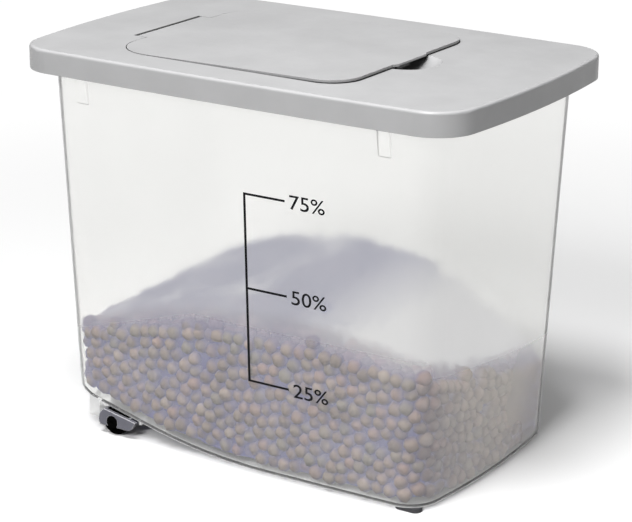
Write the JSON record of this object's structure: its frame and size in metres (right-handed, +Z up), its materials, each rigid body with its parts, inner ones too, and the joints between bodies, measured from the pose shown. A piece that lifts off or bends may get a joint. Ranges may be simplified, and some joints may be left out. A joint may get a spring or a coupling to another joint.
{
  "type": "pet food storage bin",
  "caption": "Frosted see-through food tub on rollers and feet, with a lift-off grey lid, a flip hatch with finger tongue, seals and a fill of kibble.",
  "frame": {"origin": "on the floor, under the middle of the lid", "axes": "+X towards the end with the finger scoop and the feet, -Y towards the long side with the level scale, +Z up"},
  "size_m": [0.446, 0.2768, 0.353],
  "materials": {
    "frosted_plastic": "satin",
    "lid_plastic": "satin",
    "silicone": "matte",
    "pin_steel": "satin",
    "bracket_plastic": "satin",
    "roller_plastic": "satin",
    "foot_rubber": "matte",
    "kibble": "matte",
    "scale_ink": "satin"
  },
  "bodies": {
    "bin": {"bin_body": "frosted_plastic", "wheel_bracket_front": "bracket_plastic", "wheel_bracket_back": "bracket_plastic", "foot_front": "foot_rubber", "foot_back": "foot_rubber", "kibble_fill": "kibble"},
    "cover": {"lid": "lid_plastic", "lid_seal": "silicone", "hinge_pin": "pin_steel"},
    "hatch": {"flip_lid": "lid_plastic", "hatch_seal": "silicone"},
    "front_wheel": {"wheel_front": "roller_plastic", "wheel_axle_front": "roller_plastic"},
    "back_wheel": {"wheel_back": "roller_plastic", "wheel_axle_back": "roller_plastic"}
  },
  "joints": [
    {"name": "lid_lift", "type": "slide", "parent": "bin", "child": "cover", "axis": [0, 0, 1], "range_m": [0, 0.12]},
    {"name": "flip_lid_hinge", "type": "hinge", "parent": "cover", "child": "hatch", "pos_m": [-0.1496, 0, 0.34685], "axis": [0, -1, 0], "range_deg": [0, 100]},
    {"name": "front_wheel_spin", "type": "hinge", "parent": "bin", "child": "front_wheel", "pos_m": [-0.1376, -0.103, 0.0129], "axis": [0, 1, 0], "continuous": true},
    {"name": "back_wheel_spin", "type": "hinge", "parent": "bin", "child": "back_wheel", "pos_m": [-0.1376, 0.103, 0.0129], "axis": [0, 1, 0], "continuous": true}
  ]
}
